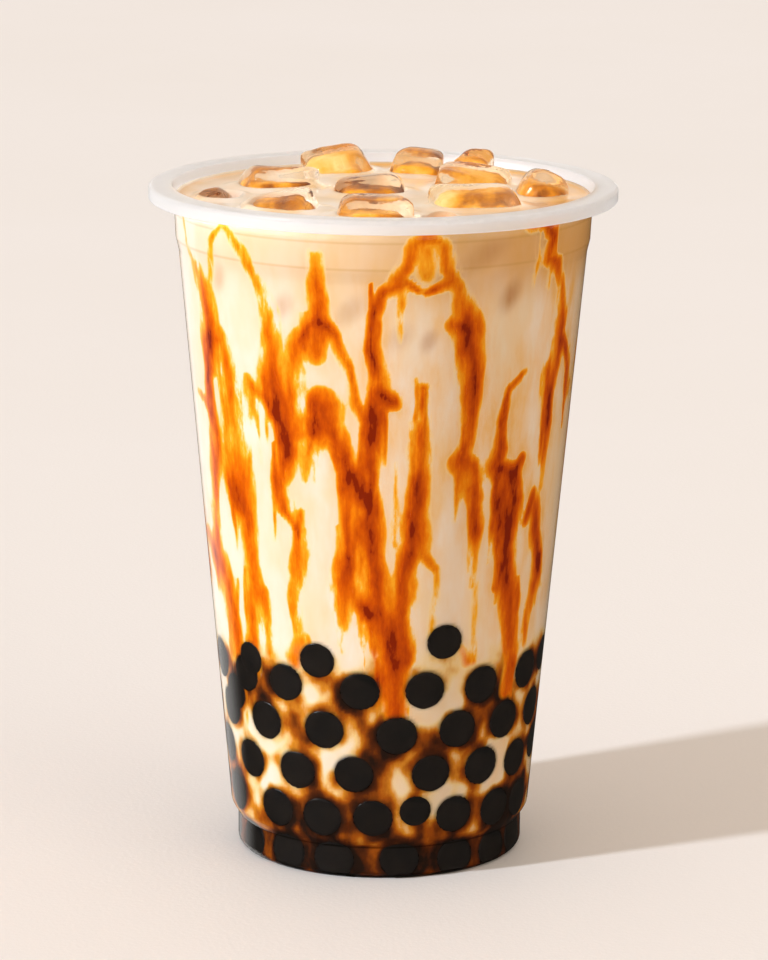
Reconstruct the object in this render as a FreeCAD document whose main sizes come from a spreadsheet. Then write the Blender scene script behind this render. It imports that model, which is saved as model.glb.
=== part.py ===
"""A bubble tea in its clear cup: milk tea over a bed of tapioca pearls, with ice floating at the brim.

Millimetres, +Z up, origin at the centre of the ring that the cup stands on.
Angles called "turn" are degrees about +Z, counted from the front (-Y) towards +X.
"""

import FreeCAD, Part

import math
import os

import Sketcher

doc = FreeCAD.newDocument("BubbleTea")
sizes = doc.addObject("Spreadsheet::Sheet", "Sizes")

# Driving dimensions: name, value in millimetres (or degrees), what it is.
DIMENSIONS = [
    ("cup_height", 138.0, "from the table to the top of the rim"),
    ("cup_wall", 0.5, "thickness of the side wall"),
    ("collar_radius", 42.3, "outer radius of the collar under the rim's flare"),
    ("flare_reach", 0.4, "how far the mouth flares out from the collar"),
    ("rim_reach", 5.2, "how far the rolled rim stands out from the collar"),
    ("rim_depth", 2.8, "height of the rim's outer skirt"),
    ("rim_wall", 0.9, "thickness of the rolled rim"),
    ("rim_round", 0.8, "rounding of the rim's outer top edge"),
    ("edge_round", 0.3, "rounding of the rim's other edges"),
    ("flare_drop", 5.3, "from the top down to the foot of the rim's flare"),
    ("shoulder_drop", 10.6, "from the top down to the stacking shoulder"),
    ("shoulder_rise", 2.6, "height of the shoulder's slope"),
    ("shoulder_step", 0.6, "how far the shoulder steps in"),
    ("shoulder_taper", 0.3, "how much the collar narrows towards the shoulder"),
    ("heel_radius", 30.8, "outer radius of the wall's lower end"),
    ("heel_rise", 2.2, "height of the slope from the foot out to the wall"),
    ("heel_round", 2.6, "rounding of the wall's lower end"),
    ("foot_step", 1.4, "how far the straight foot is set in from the heel"),
    ("foot_height", 6.8, "height of the straight foot"),
    ("foot_round", 1.6, "rounding of the foot's lower edge"),
    ("floor_wall", 0.8, "thickness of the floor"),
    ("punt_margin", 4.9, "width of the ring that the cup stands on"),
    ("punt_height", 1.0, "how far the middle of the floor is raised"),
    ("fill_gap", 0.08, "clearance between the drink and the cup"),
    ("drink_drop", 2.5, "from the top of the rim down to the drink"),
    ("meniscus_rise", 0.6, "how far the drink climbs the wall"),
    ("meniscus_reach", 1.8, "how far from the wall the climb begins"),
    ("pearl_diameter", 9.6, "one cooked tapioca pearl"),
    ("pearl_pitch", 12.6, "spacing of the pearls along the wall"),
    ("pearl_gap", 0.3, "clearance between the wall and the whole pearls on the heap"),
    ("pearl_sink", 1.4, "how deep the highest pearl of the topmost full row sits in the bed"),
    ("crest_height", 40.4, "centre height of the topmost full row"),
    ("crest_wander", 1.3, "how unevenly that row lies"),
    ("crest_turn", -9.0, "where that row's first pearl lies, in degrees"),
    ("ice_depth", 13.0, "height of an ice cube"),
    ("ice_sink", 1.0, "how much lower than its stated height an ice cube floats"),
    ("ice_taper", 5.0, "draft of an ice cube's sides, in degrees"),
    ("ice_melt", 2.6, "rounding of an ice cube's melted edges"),
    ("ice_melt_share", 0.32, "the most that rounding may be of the cube's narrow side"),
]

# How fast the heap's top rises and falls, in radians from one pearl to the next and from ring to ring.
CREST_RIPPLE = 2.4
CREST_SHIFT = 1.7

# Two edges closer than this, in millimetres, are the same edge.
SAME_EDGE = 1e-4

# Ice cubes across the mouth. Place and plan size are shares of the drink's surface radius, top is
# the height over the drink in millimetres, and yaw, tilt and roll are degrees.
ICE_CUBES = {
    "ice_far_left": dict(x=-0.80, y=-0.08, long=0.235, wide=0.29, top=2.7, yaw=-8, tilt=9, roll=-6),
    "ice_left": dict(x=-0.54, y=0.28, long=0.38, wide=0.31, top=4.6, yaw=18, tilt=-7, roll=5),
    "ice_front_left": dict(x=-0.50, y=-0.42, long=0.38, wide=0.27, top=3.5, yaw=-14, tilt=8, roll=-13),
    "ice_back_left": dict(x=-0.225, y=0.74, long=0.35, wide=0.31, top=4.6, yaw=10, tilt=14, roll=-16),
    "ice_centre": dict(x=-0.06, y=0.10, long=0.40, wide=0.32, top=4.2, yaw=4, tilt=-4, roll=3),
    "ice_front": dict(x=-0.045, y=-0.60, long=0.39, wide=0.31, top=4.6, yaw=3, tilt=6, roll=4),
    "ice_back": dict(x=0.16, y=0.74, long=0.25, wide=0.31, top=5.6, yaw=-12, tilt=8, roll=7),
    "ice_back_right": dict(x=0.43, y=0.70, long=0.20, wide=0.27, top=5.3, yaw=-20, tilt=10, roll=9),
    "ice_right": dict(x=0.42, y=0.27, long=0.38, wide=0.30, top=4.5, yaw=-8, tilt=12, roll=8),
    "ice_front_right": dict(x=0.46, y=-0.32, long=0.44, wide=0.28, top=4.6, yaw=8, tilt=5, roll=-5),
    "ice_far_right": dict(x=0.79, y=0.06, long=0.22, wide=0.33, top=5.5, yaw=6, tilt=-6, roll=20),
    "ice_front_tip": dict(x=0.31, y=-0.70, long=0.20, wide=0.22, top=1.6, yaw=24, tilt=8, roll=14),
}

# Loose pearls on the topmost full row: which pearl of the row each lies over, how far along from it
# as a share of the row's spacing, and how far above it as a share of a pearl's diameter.
LOOSE_PEARLS = [
    (-2, 0.36, 0.40),
    (-1, 0.45, 0.58),
    (1, 0.20, 0.86),
    (4, -0.22, 0.56),
    (5, 0.40, 0.48),
    (7, 0.20, 0.75),
    (9, -0.16, 0.52),
    (11, -0.40, 0.60),
]


def fill_sheet():
    """Writes each driving dimension as a plain number in a cell that has its name as alias."""
    for row, (name, value, meaning) in enumerate(DIMENSIONS, start=1):
        sizes.set(f"A{row}", name)
        sizes.set(f"B{row}", str(value))
        sizes.set(f"C{row}", meaning)
        sizes.setAlias(f"B{row}", name)
    doc.recompute()


def formula(text):
    """A formula on dimension names, as an expression that refers to the sheet's cells."""
    for name, _, _ in sorted(DIMENSIONS, key=lambda row: -len(row[0])):
        text = text.replace(name, f"Sizes.@{name[::-1]}@")
    parts = text.split("@")
    return "".join(part[::-1] if i % 2 else part for i, part in enumerate(parts))


def value(text):
    """The number that a formula gives with the sheet's present values."""
    return float(sizes.evalExpression(formula(text)))


def plane_of(body, role):
    """One of a body's own origin planes, found by its role."""
    return next(f for f in body.Origin.OriginFeatures if f.Role == role)


def new_body(name):
    body = doc.addObject("PartDesign::Body", name)
    body.Label = name
    return body


def revolved(name, outline):
    """A body turned about Z from a closed outline of (radius, height) formulas, where "0" is the axis."""
    body = new_body(name)
    sketch = body.newObject("Sketcher::SketchObject", f"{name}_outline")
    sketch.AttachmentSupport = (plane_of(body, "XZ_Plane"), [""])
    sketch.MapMode = "FlatFace"
    corners = [FreeCAD.Vector(value(r), value(z), 0) for r, z in outline]
    for start, end in zip(corners, corners[1:] + corners[:1]):
        sketch.addGeometry(Part.LineSegment(start, end), False)
    last = len(outline) - 1
    for line in range(len(outline)):
        sketch.addConstraint(Sketcher.Constraint("Coincident", line, 2, 0 if line == last else line + 1, 1))
    for line, (radius, height) in enumerate(outline):
        if radius == "0":
            sketch.addConstraint(Sketcher.Constraint("PointOnObject", line, 1, -2))
        else:
            bind(sketch, "DistanceX", line, radius)
        if height == "0":
            sketch.addConstraint(Sketcher.Constraint("PointOnObject", line, 1, -1))
        else:
            bind(sketch, "DistanceY", line, height)
    turned = body.newObject("PartDesign::Revolution", f"{name}_turned")
    turned.Profile = sketch
    turned.ReferenceAxis = (sketch, ["V_Axis"])
    turned.Angle = 360
    doc.recompute()
    return body


def bind(sketch, kind, line, text):
    """Holds the start of a sketch line at a distance from the origin that follows the sheet."""
    index = sketch.addConstraint(Sketcher.Constraint(kind, line, 1, value(text)))
    sketch.setExpression(f"Constraints[{index}]", formula(text))


def round_rings(body, rings, radius):
    """Fillets the circular edges that lie at the given (radius, height) formulas."""
    base = body.Tip
    shape = base.Shape
    wanted = [(value(r), value(z)) for r, z in rings]
    names = []
    for number, edge in enumerate(shape.Edges, start=1):
        curve = edge.Curve
        if isinstance(curve, Part.Circle):
            for ring_radius, height in wanted:
                off = math.hypot(curve.Radius - ring_radius, curve.Center.z - height)
                if off < SAME_EDGE:
                    names.append(f"Edge{number}")
    rounded = body.newObject("PartDesign::Fillet", f"{body.Name}_round")
    rounded.Base = (base, names)
    rounded.Radius = value(radius)
    rounded.setExpression("Radius", formula(radius))
    body.Tip = rounded
    doc.recompute()


FOOT = "heel_radius - foot_step"
PUNT = f"{FOOT} - punt_margin"
MOUTH = "collar_radius + flare_reach"
RIM = "collar_radius + rim_reach"
DRINK_LEVEL = "cup_height - drink_drop"
BED_TOP = "crest_height + crest_wander - pearl_diameter / 2 + pearl_sink"

# The side wall from the heel up to the rim, as (outer radius, height), shared by the cup and its contents.
HEEL = ("heel_radius", "foot_height + heel_rise")
SHOULDER_LOW = (
    "collar_radius - shoulder_taper - shoulder_step",
    "cup_height - shoulder_drop - shoulder_rise",
)
SHOULDER_TOP = ("collar_radius - shoulder_taper", "cup_height - shoulder_drop")
COLLAR = ("collar_radius", "cup_height - flare_drop")


def make_cup():
    """The thin cup: a rolled rim open underneath, a stacking shoulder, a stepped foot and a raised floor."""
    flare_top = f"{MOUTH} + cup_wall + edge_round"
    skirt_inside = f"{RIM} - rim_wall"
    lip_under = "cup_height - rim_wall"
    rim_foot = "cup_height - rim_depth"
    foot_inside = f"{FOOT} - cup_wall"
    ring_inside = f"{PUNT} + punt_height"
    outside = [
        ("0", "punt_height"),
        (PUNT, "punt_height"),
        (ring_inside, "0"),
        (FOOT, "0"),
        (FOOT, "foot_height"),
        HEEL,
        SHOULDER_LOW,
        SHOULDER_TOP,
        COLLAR,
        (flare_top, lip_under),
        (skirt_inside, lip_under),
        (skirt_inside, rim_foot),
        (RIM, rim_foot),
        (RIM, "cup_height"),
        (MOUTH, "cup_height"),
    ]
    wall = [(f"{radius} - cup_wall", height) for radius, height in (COLLAR, SHOULDER_TOP, SHOULDER_LOW, HEEL)]
    inside = wall + [
        (foot_inside, "foot_height"),
        (foot_inside, "floor_wall"),
        (ring_inside, "floor_wall"),
        (PUNT, "punt_height + floor_wall"),
        ("0", "punt_height + floor_wall"),
    ]
    cup = revolved("cup", outside + inside)
    round_rings(cup, [(RIM, "cup_height")], "rim_round")
    round_rings(cup, [(MOUTH, "cup_height"), (RIM, rim_foot), (skirt_inside, lip_under)], "edge_round")
    round_rings(cup, [HEEL, (f"{HEEL[0]} - cup_wall", HEEL[1])], "heel_round")
    round_rings(cup, [(FOOT, "0")], "foot_round")
    round_rings(cup, [(foot_inside, "floor_wall")], "foot_round - cup_wall")
    return cup


def wall_radius(height):
    """Inner radius of the drink's side at a height between the heel and the shoulder."""
    low, high = value(HEEL[1]), value(SHOULDER_LOW[1])
    share = (height - low) / (high - low)
    outer = value(HEEL[0]) + share * (value(SHOULDER_LOW[0]) - value(HEEL[0]))
    return outer - value("cup_wall + fill_gap")


def make_drink_volume():
    """Everything inside the cup up to the drink's surface, clear of the wall and climbing it a little."""
    gap = "cup_wall - fill_gap"
    floor = "floor_wall + fill_gap"
    foot_inside = f"{FOOT} - {gap}"
    heel_inside = f"{HEEL[0]} - {gap}"
    outline = [
        ("0", f"punt_height + {floor}"),
        (PUNT, f"punt_height + {floor}"),
        (f"{PUNT} + punt_height", floor),
        (foot_inside, floor),
        (foot_inside, "foot_height"),
        (heel_inside, HEEL[1]),
        (f"{SHOULDER_LOW[0]} - {gap}", SHOULDER_LOW[1]),
        (f"{SHOULDER_TOP[0]} - {gap}", SHOULDER_TOP[1]),
        (f"{COLLAR[0]} - {gap}", COLLAR[1]),
        (f"{COLLAR[0]} - {gap}", f"{DRINK_LEVEL} + meniscus_rise"),
        (f"{COLLAR[0]} - {gap} - meniscus_reach", DRINK_LEVEL),
        ("0", DRINK_LEVEL),
    ]
    body = revolved("drink_volume", outline)
    round_rings(body, [(heel_inside, HEEL[1])], "heel_round")
    round_rings(body, [(foot_inside, floor)], "foot_round - cup_wall")
    return body


def make_ball(turn, radius, height):
    """A pearl at a turn, a distance from the axis and a height."""
    angle = math.radians(turn)
    place = FreeCAD.Vector(radius * math.sin(angle), -radius * math.cos(angle), height)
    pearl = doc.addObject("Part::Sphere", "pearl")
    pearl.setExpression("Radius", formula("pearl_diameter / 2"))
    pearl.Placement = FreeCAD.Placement(place, FreeCAD.Rotation(turn + 90, 0, 0))
    return pearl


def crest_level(ring, step):
    """Centre height of one pearl of the heap's top, which lies unevenly."""
    return value("crest_height") + value("crest_wander") * math.sin(CREST_RIPPLE * step + CREST_SHIFT * ring)


def make_crest():
    """The pearls along the heap's top: rings from the wall inwards, then the loose ones."""
    diameter, pitch = value("pearl_diameter"), value("pearl_pitch")
    inset = diameter / 2 + value("pearl_gap")
    outer = wall_radius(value("crest_height")) - inset
    in_row = math.floor(2 * math.pi * outer / pitch)
    pearls = []
    for ring in range(math.ceil((outer - diameter / 2) / diameter)):
        radius = outer - ring * diameter
        count = math.floor(2 * math.pi * radius / pitch)
        for step in range(count):
            stagger = (ring % 2) / 2
            turn = value("crest_turn") + (step + stagger) * 360 / count
            pearls.append(make_ball(turn, radius, crest_level(ring, step)))
    for step, along, over in LOOSE_PEARLS:
        turn = value("crest_turn") + (step + along) * 360 / in_row
        height = crest_level(0, step % in_row) + over * diameter
        pearls.append(make_ball(turn, wall_radius(height) - inset, height))
    return pearls


def make_heap():
    """The tapioca pearls before the cup bounds them: a filled bed with whole pearls along its top."""
    bed = doc.addObject("Part::Cylinder", "pearl_bed")
    bed.setExpression("Radius", formula("collar_radius"))
    bed.setExpression("Height", formula(BED_TOP))
    heap = doc.addObject("Part::MultiFuse", "pearl_heap")
    heap.Shapes = [bed] + make_crest()
    doc.recompute()
    return heap


def make_pearls(drink_volume, heap):
    pearls = doc.addObject("Part::Common", "pearls")
    pearls.Base = drink_volume
    pearls.Tool = heap
    pearls.Label = "pearls"
    doc.recompute()
    return pearls


def make_ice(name, cube):
    """One ice cube: a drafted block with melted edges, set in the drink with only its top standing out."""
    reach = f"({COLLAR[0]} - cup_wall - fill_gap)"
    body = new_body(name)
    plan = body.newObject("Sketcher::SketchObject", f"{name}_plan")
    plan.AttachmentSupport = (plane_of(body, "XY_Plane"), [""])
    plan.MapMode = "FlatFace"
    half_long, half_wide = f"{reach} * {cube['long'] / 2}", f"{reach} * {cube['wide'] / 2}"
    long, wide = value(half_long), value(half_wide)
    corners = [(-long, -wide), (long, -wide), (long, wide), (-long, wide)]
    points = [FreeCAD.Vector(x, y, 0) for x, y in corners]
    for start, end in zip(points, points[1:] + points[:1]):
        plan.addGeometry(Part.LineSegment(start, end), False)
    for line in range(4):
        plan.addConstraint(Sketcher.Constraint("Coincident", line, 2, (line + 1) % 4, 1))
    for line, (x, y) in enumerate(corners):
        bind(plan, "DistanceX", line, f"-{half_long}" if x < 0 else half_long)
        bind(plan, "DistanceY", line, f"-{half_wide}" if y < 0 else half_wide)
    block = body.newObject("PartDesign::Pad", f"{name}_block")
    block.Profile = plan
    block.Reversed = True
    block.setExpression("Length", formula("ice_depth"))
    block.setExpression("TaperAngle", formula("-ice_taper"))
    doc.recompute()
    melted = body.newObject("PartDesign::Fillet", f"{name}_melted")
    melted.Base = (block, [f"Edge{n}" for n in range(1, len(block.Shape.Edges) + 1)])
    narrow = f"{reach} * {min(cube['long'], cube['wide'])}"
    melted.setExpression("Radius", formula(f"min(ice_melt; ice_melt_share * {narrow})"))
    body.Tip = melted
    radius = value(reach)
    height = value(f"{DRINK_LEVEL} - ice_sink") + cube["top"]
    turned = FreeCAD.Rotation(cube["yaw"], cube["roll"], cube["tilt"])
    body.Placement = FreeCAD.Placement(FreeCAD.Vector(cube["x"] * radius, cube["y"] * radius, height), turned)
    doc.recompute()
    return body


def make_milk_tea(drink_volume, sunk):
    """The milk tea: the drink's volume cut round the pearls and the ice."""
    solids = doc.addObject("Part::Compound", "sunk_solids")
    solids.Links = sunk
    milk_tea = doc.addObject("Part::Cut", "milk_tea")
    milk_tea.Base = drink_volume
    milk_tea.Tool = solids
    milk_tea.Label = "milk_tea"
    doc.recompute()
    return milk_tea


def check(parts):
    """Stops if an object failed to compute or a sub-part isn't a valid solid."""
    for thing in doc.Objects:
        if "Invalid" in thing.State or "Error" in thing.State:
            raise RuntimeError(f"{thing.Name} failed: {thing.State}")
    for part in parts:
        shape = part.Shape
        if shape.isNull() or not shape.isValid() or not shape.Solids:
            raise RuntimeError(f"{part.Label} is not a valid solid")
        print(f"{part.Label}: {len(shape.Solids)} solid, {shape.Volume / 1000:.2f} ml")


fill_sheet()
cup = make_cup()
drink_volume = make_drink_volume()
heap = make_heap()
pearls = make_pearls(drink_volume, heap)
ice = [make_ice(name, cube) for name, cube in ICE_CUBES.items()]
milk_tea = make_milk_tea(drink_volume, [heap] + ice)

finished = [cup, milk_tea, pearls] + ice
check(finished)
os.makedirs("parts", exist_ok=True)
for part in finished:
    part.Shape.exportStep(f"parts/{part.Label}.step")
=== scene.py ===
import math
import random

import bmesh
import bpy
import numpy as np
from mathutils import Matrix, Vector, noise


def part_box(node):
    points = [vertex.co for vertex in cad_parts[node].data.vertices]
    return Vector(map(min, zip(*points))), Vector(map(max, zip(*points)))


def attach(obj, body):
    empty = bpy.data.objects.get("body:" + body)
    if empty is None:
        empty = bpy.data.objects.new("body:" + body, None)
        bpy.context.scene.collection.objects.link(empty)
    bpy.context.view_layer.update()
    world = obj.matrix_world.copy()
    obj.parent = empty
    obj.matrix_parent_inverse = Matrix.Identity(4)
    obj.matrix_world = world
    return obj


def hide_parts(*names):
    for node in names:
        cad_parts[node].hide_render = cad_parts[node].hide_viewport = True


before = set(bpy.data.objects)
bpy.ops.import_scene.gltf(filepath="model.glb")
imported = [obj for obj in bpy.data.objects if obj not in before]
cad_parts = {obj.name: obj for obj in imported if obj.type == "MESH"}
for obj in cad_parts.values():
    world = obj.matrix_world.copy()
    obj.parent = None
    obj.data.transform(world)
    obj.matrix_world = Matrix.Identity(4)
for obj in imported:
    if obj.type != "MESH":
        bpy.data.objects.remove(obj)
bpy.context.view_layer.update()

mm = 0.001
weld = 0.001 * mm  # points nearer than this are one
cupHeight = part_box("cup")[1].z
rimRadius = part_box("cup")[1].x
collarRadius = rimRadius - 5.2 * mm
drinkLevel = cupHeight - 2.5 * mm


class Wire:
    def __init__(self, look, socket):
        self.look = look
        self.socket = socket

    def __add__(self, other):
        return self.look.math("ADD", self, other)

    def __sub__(self, other):
        return self.look.math("SUBTRACT", self, other)

    def __rsub__(self, other):
        return self.look.math("SUBTRACT", other, self)

    def __mul__(self, other):
        return self.look.math("MULTIPLY", self, other)

    def __pow__(self, other):
        return self.look.math("POWER", self, other)

    __radd__ = __add__
    __rmul__ = __mul__

    def between(self, low, high):  # low at 0, high at 1
        return self * (high - low) + low

    def sway(self, amount):  # noise round 0 instead of round a half
        return (self - 0.5) * amount

    def ease(self, low, high):  # 0 at low, 1 at high, smooth between
        return self.look.node(
            "MapRange",
            {"interpolation_type": "SMOOTHSTEP"},
            {"Value": self, "From Min": low, "From Max": high},
        )

    def line(self, place, width):  # 1 at a place, 0 farther off than a width
        return self.ease(place - width, place) * (1 - self.ease(place, place + width))


class Look:  # the nodes of one material, or of the studio's sky
    def __init__(self, name, library=bpy.data.materials):
        self.material = library.new(name)
        self.material.use_nodes = True
        self.tree = self.material.node_tree
        self.tree.nodes.clear()

    def node(self, kind, settings=None, values=None, out=0):
        made = self.tree.nodes.new("ShaderNode" + kind)
        for key, setting in (settings or {}).items():
            if key == "stops":
                fillRamp(made.color_ramp.elements, setting)
            else:
                setattr(made, key, setting)
        for key, given in (values or {}).items():
            if isinstance(given, Wire):
                self.tree.links.new(given.socket, made.inputs[key])
            else:
                made.inputs[key].default_value = given
        return Wire(self, made.outputs[out]) if made.outputs else made

    def math(self, operation, first, second):
        return self.node("Math", {"operation": operation}, {0: first, 1: second})

    def mix(self, factor, first, second):
        settings = {"data_type": "RGBA", "blend_type": "MIX", "clamp_factor": True}
        return self.node("Mix", settings, {0: factor, 6: first, 7: second}, out=2)

    def ramp(self, factor, stops):
        return self.node("ValToRGB", {"stops": stops}, {0: factor})

    def place(self):
        return self.node("TexCoord", out=3)

    def height(self):
        return self.node("SeparateXYZ", None, {0: self.place()}, out=2)

    def field(self, name):  # a value that the mesh's points carry
        return self.node("Attribute", {"attribute_name": name}, out=2)

    def cloud(self, scale, detail=3.0, stretch=(1, 1, 1), roughness=0.55):  # scale is per metre
        spread = self.node("Mapping", None, {"Vector": self.place(), "Scale": stretch})
        values = {"Vector": spread, "Scale": scale, "Detail": detail, "Roughness": roughness}
        return self.node("TexNoise", None, values)

    def bump(self, height, distance, strength=1.0):
        return self.node("Bump", None, {"Height": height, "Distance": distance, "Strength": strength})

    def principled(self, values):
        return self.node("BsdfPrincipled", None, values)

    def finish(self, shader, output="OutputMaterial"):
        self.node(output, None, {"Surface": shader})
        return self.material


def colour(code):  # a hex code as linear light
    channels = [int(code[i:i + 2], 16) / 255 for i in (0, 2, 4)]
    return tuple(c / 12.92 if c <= 0.04045 else ((c + 0.055) / 1.055) ** 2.4 for c in channels) + (1.0,)


def fillRamp(elements, stops):  # each stop is a place and a hex code
    while len(elements) < len(stops):
        elements.new(1.0)
    for element, (place, code) in zip(elements, stops):
        element.position = place
        element.color = colour(code)


def addObject(name, data):
    made = bpy.data.objects.new(name, data)
    bpy.context.scene.collection.objects.link(made)
    return made


def addPiece(name, bm, material, replaced=()):
    mesh = bpy.data.meshes.new(name)
    bm.to_mesh(mesh)
    bm.free()
    mesh.materials.append(material)
    mesh.polygons.foreach_set("use_smooth", [True] * len(mesh.polygons))
    piece = addObject(name, mesh)
    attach(piece, "root")
    if replaced:
        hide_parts(*replaced)
    return piece


def setField(piece, name, values):  # one value for each of the mesh's points
    layer = piece.data.attributes.new(name, "FLOAT", "POINT")
    layer.data.foreach_set("value", np.array(values, np.float32))


def spinProfile(points, steps):  # a closed body turned about the cup's axis from (radius, height) points
    bm = bmesh.new()
    corners = [bm.verts.new((0, -r, z)) for r, z in points]
    edges = [bm.edges.new(pair) for pair in zip(corners, corners[1:])]
    bmesh.ops.spin(
        bm, geom=corners + edges, cent=(0, 0, 0), axis=(0, 0, 1), angle=2 * math.pi, steps=steps,
        use_merge=True)
    bmesh.ops.remove_doubles(bm, verts=bm.verts, dist=weld)
    bmesh.ops.recalc_face_normals(bm, faces=bm.faces)
    return bm


def soften(bm, verts, share):  # each point goes a share of the way to the middle of its neighbours
    bmesh.ops.smooth_vert(bm, verts=verts, factor=share, use_axis_x=True, use_axis_y=True, use_axis_z=True)


def pullIn(verts, limits):  # no point stays farther from the cup's axis than its limit
    for vert, limit in zip(verts, limits):
        share = min(1, limit / max(vert.co.xy.length, mm))
        vert.co.x *= share
        vert.co.y *= share


def turnOf(x, y):  # degrees round the cup from its front towards the right
    return np.degrees(np.arctan2(x, -y))


def around(turn, place):  # degrees from a place to a turn, the shorter way round
    return (turn - place + 180) % 360 - 180


def easeArray(value, low, high):  # 0 at low, 1 at high, smooth between
    share = np.clip((value - low) / (high - low), 0, 1)
    return share * share * (3 - 2 * share)


def wobble(points, scale, seed):  # smooth noise from -1 to 1 for each row of points
    shift = Vector((seed * 7.3, seed * 3.1, seed * 5.7))
    return np.array([noise.noise(Vector(p) * scale + shift) for p in points])


print("cup")
cup = dict(
    wall=0.5 * mm,
    wallTop=cupHeight - 5.3 * mm,
    shoulderTop=cupHeight - 10.6 * mm,
    shoulderLow=cupHeight - 13.2 * mm,
    shoulderTopRadius=collarRadius - 0.3 * mm,
    shoulderLowRadius=collarRadius - 0.9 * mm,
    heelRadius=30.8 * mm,
    heelHeight=9.0 * mm,
    footRadius=29.4 * mm,
    footHeight=6.8 * mm,
    floor=0.8 * mm,
    puntRadius=24.5 * mm,
    puntHeight=1.0 * mm,
    frostTop=cupHeight - 2.6 * mm,
    frostLow=cupHeight - 3.6 * mm,
    clearTint=colour("fcfbf9"),
    frostTint=colour("f8f8fa"),
    creaseShadeTint=colour("7c6a58"),
    creaseShade=0.3 * mm,  # half the width of the painted shade line where the foot begins
)


def wallRadius(height):  # inner radius of the cup's wall
    heights = [cup[key] for key in ("footHeight", "heelHeight", "shoulderLow", "shoulderTop", "wallTop")]
    radii = [cup[key] for key in ("footRadius", "heelRadius", "shoulderLowRadius", "shoulderTopRadius")]
    return np.interp(height, heights, radii + [collarRadius]) - cup["wall"]


def makeCupLook():
    look = Look("clearCup")
    height = look.height()
    scuffs = look.cloud(scale=260, detail=4)
    # painted shade: a dark line in the clear plastic where the foot begins
    creaseShade = height.line(cup["footHeight"], cup["creaseShade"])
    clear = look.principled({
        "Base Color": look.mix(creaseShade, cup["clearTint"], cup["creaseShadeTint"]),
        "Roughness": scuffs.between(0.015, 0.065),
        "IOR": 1.38,
        "Transmission Weight": 1.0,
        "Normal": look.bump(look.cloud(scale=40, detail=1), distance=0.1 * mm, strength=0.25)})
    frost = look.principled({
        "Base Color": cup["frostTint"],
        "Roughness": scuffs.between(0.3, 0.36),
        "IOR": 1.45,
        "Transmission Weight": 0.7})
    frosted = height.ease(cup["frostLow"], cup["frostTop"])
    return look.finish(look.node("MixShader", None, {0: frosted, 1: clear, 2: frost}))


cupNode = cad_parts["cup"]
cupNode.data.materials.clear()
cupNode.data.materials.append(makeCupLook())
cupNode.visible_shadow = False


print("ice")
ice = dict(
    crown=0.74,  # how much narrower a cube is at its top
    swell=1.13,  # how much wider the melting cube is than the frame's
    skew=1.5 * mm,
    melt=2.3 * mm,
    smoothing=3,
    softness=0.4,
    hollow=0.7 * mm,
    hollowScale=140,
    pit=0.18 * mm,
    pitScale=420,
    wallGap=0.4 * mm,
    coreSize=(0.8, 0.8, 0.62),  # the tea-stained middle, as shares of the cube
    coreSink=0.1,
    coreSlope=25,  # how much darker it gets per metre towards the right
    seed=11,
)
# plan size as shares of the drink's radius, then yaw, tilt and roll in degrees, and the heart's darkness
iceCubes = {
    "ice_far_left": (0.235, 0.29, -8, 9, -6, 0.6),
    "ice_left": (0.38, 0.31, 18, -7, 5, 0.62),
    "ice_front_left": (0.38, 0.27, -14, 8, -13, 0.58),
    "ice_back_left": (0.35, 0.31, 10, 14, -16, 0.25),
    "ice_centre": (0.40, 0.32, 4, -4, 3, 0.85),
    "ice_front": (0.39, 0.31, 3, 6, 4, 0.6),
    "ice_back": (0.25, 0.31, -12, 8, 7, 0.6),
    "ice_back_right": (0.20, 0.27, -20, 10, 9, 0.5),
    "ice_right": (0.38, 0.30, -8, 12, 8, 0.5),
    "ice_front_right": (0.44, 0.28, 8, 5, -5, 0.35),
    "ice_far_right": (0.22, 0.33, 6, -6, 20, 0.55),
    "ice_front_tip": (0.20, 0.22, 24, 8, 14, 0.9),
}


def makeIceLook():
    look = Look("meltingIce")
    veins = look.cloud(scale=190, detail=4, roughness=0.6)
    return look.finish(look.principled({
        "Base Color": look.mix(veins.ease(0.4, 0.7), colour("fffaf0"), colour("fde9c6")),
        "Roughness": look.cloud(scale=400, detail=2).between(0.01, 0.07),
        "IOR": 1.31,
        "Transmission Weight": 1.0,
        "Normal": look.bump(look.cloud(scale=150), distance=0.8 * mm, strength=0.7)}))


def makeCoreLook():
    look = Look("teaInIce")
    veins = look.cloud(scale=170, detail=5, stretch=(1, 1, 0.7), roughness=0.5)
    tone = look.ramp(look.field("dark") + veins.sway(2.2), [
        (0.0, "f8cf86"), (0.3, "f4b244"), (0.5, "e49a1c"), (0.72, "bc700e"), (1.0, "6a2c08")])
    return look.finish(look.principled({
        "Base Color": tone,
        "Roughness": veins.between(0.2, 0.4),
        "IOR": 1.35,
        "Normal": look.bump(look.cloud(scale=160), distance=0.8 * mm, strength=0.6)}))


def roughCube(size, seed):  # a cube that has begun to melt
    bm = bmesh.new()
    bmesh.ops.create_cube(bm, size=1.0)
    bmesh.ops.scale(bm, vec=size, verts=bm.verts)
    for vert in bm.verts:
        if vert.co.z > 0:
            vert.co.x *= ice["crown"]
            vert.co.y *= ice["crown"]
    chance = random.Random(seed)
    for vert in bm.verts:
        vert.co += Vector([chance.uniform(-1, 1) for _ in range(3)]) * ice["skew"]
    bmesh.ops.bevel(
        bm, geom=bm.edges[:], offset=ice["melt"], segments=3, profile=0.5, affect="EDGES", material=-1,
        clamp_overlap=True)
    bmesh.ops.subdivide_edges(bm, edges=bm.edges[:], cuts=2, use_grid_fill=True)
    for _ in range(ice["smoothing"]):
        soften(bm, bm.verts, ice["softness"])
    for vert in bm.verts:
        hollow = noise.noise(vert.co * ice["hollowScale"] + Vector((seed, 0, 0)))
        pit = noise.noise(vert.co * ice["pitScale"] + Vector((0, seed, 0)))
        vert.co += vert.normal * (hollow * ice["hollow"] + pit * ice["pit"])
    return bm


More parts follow.
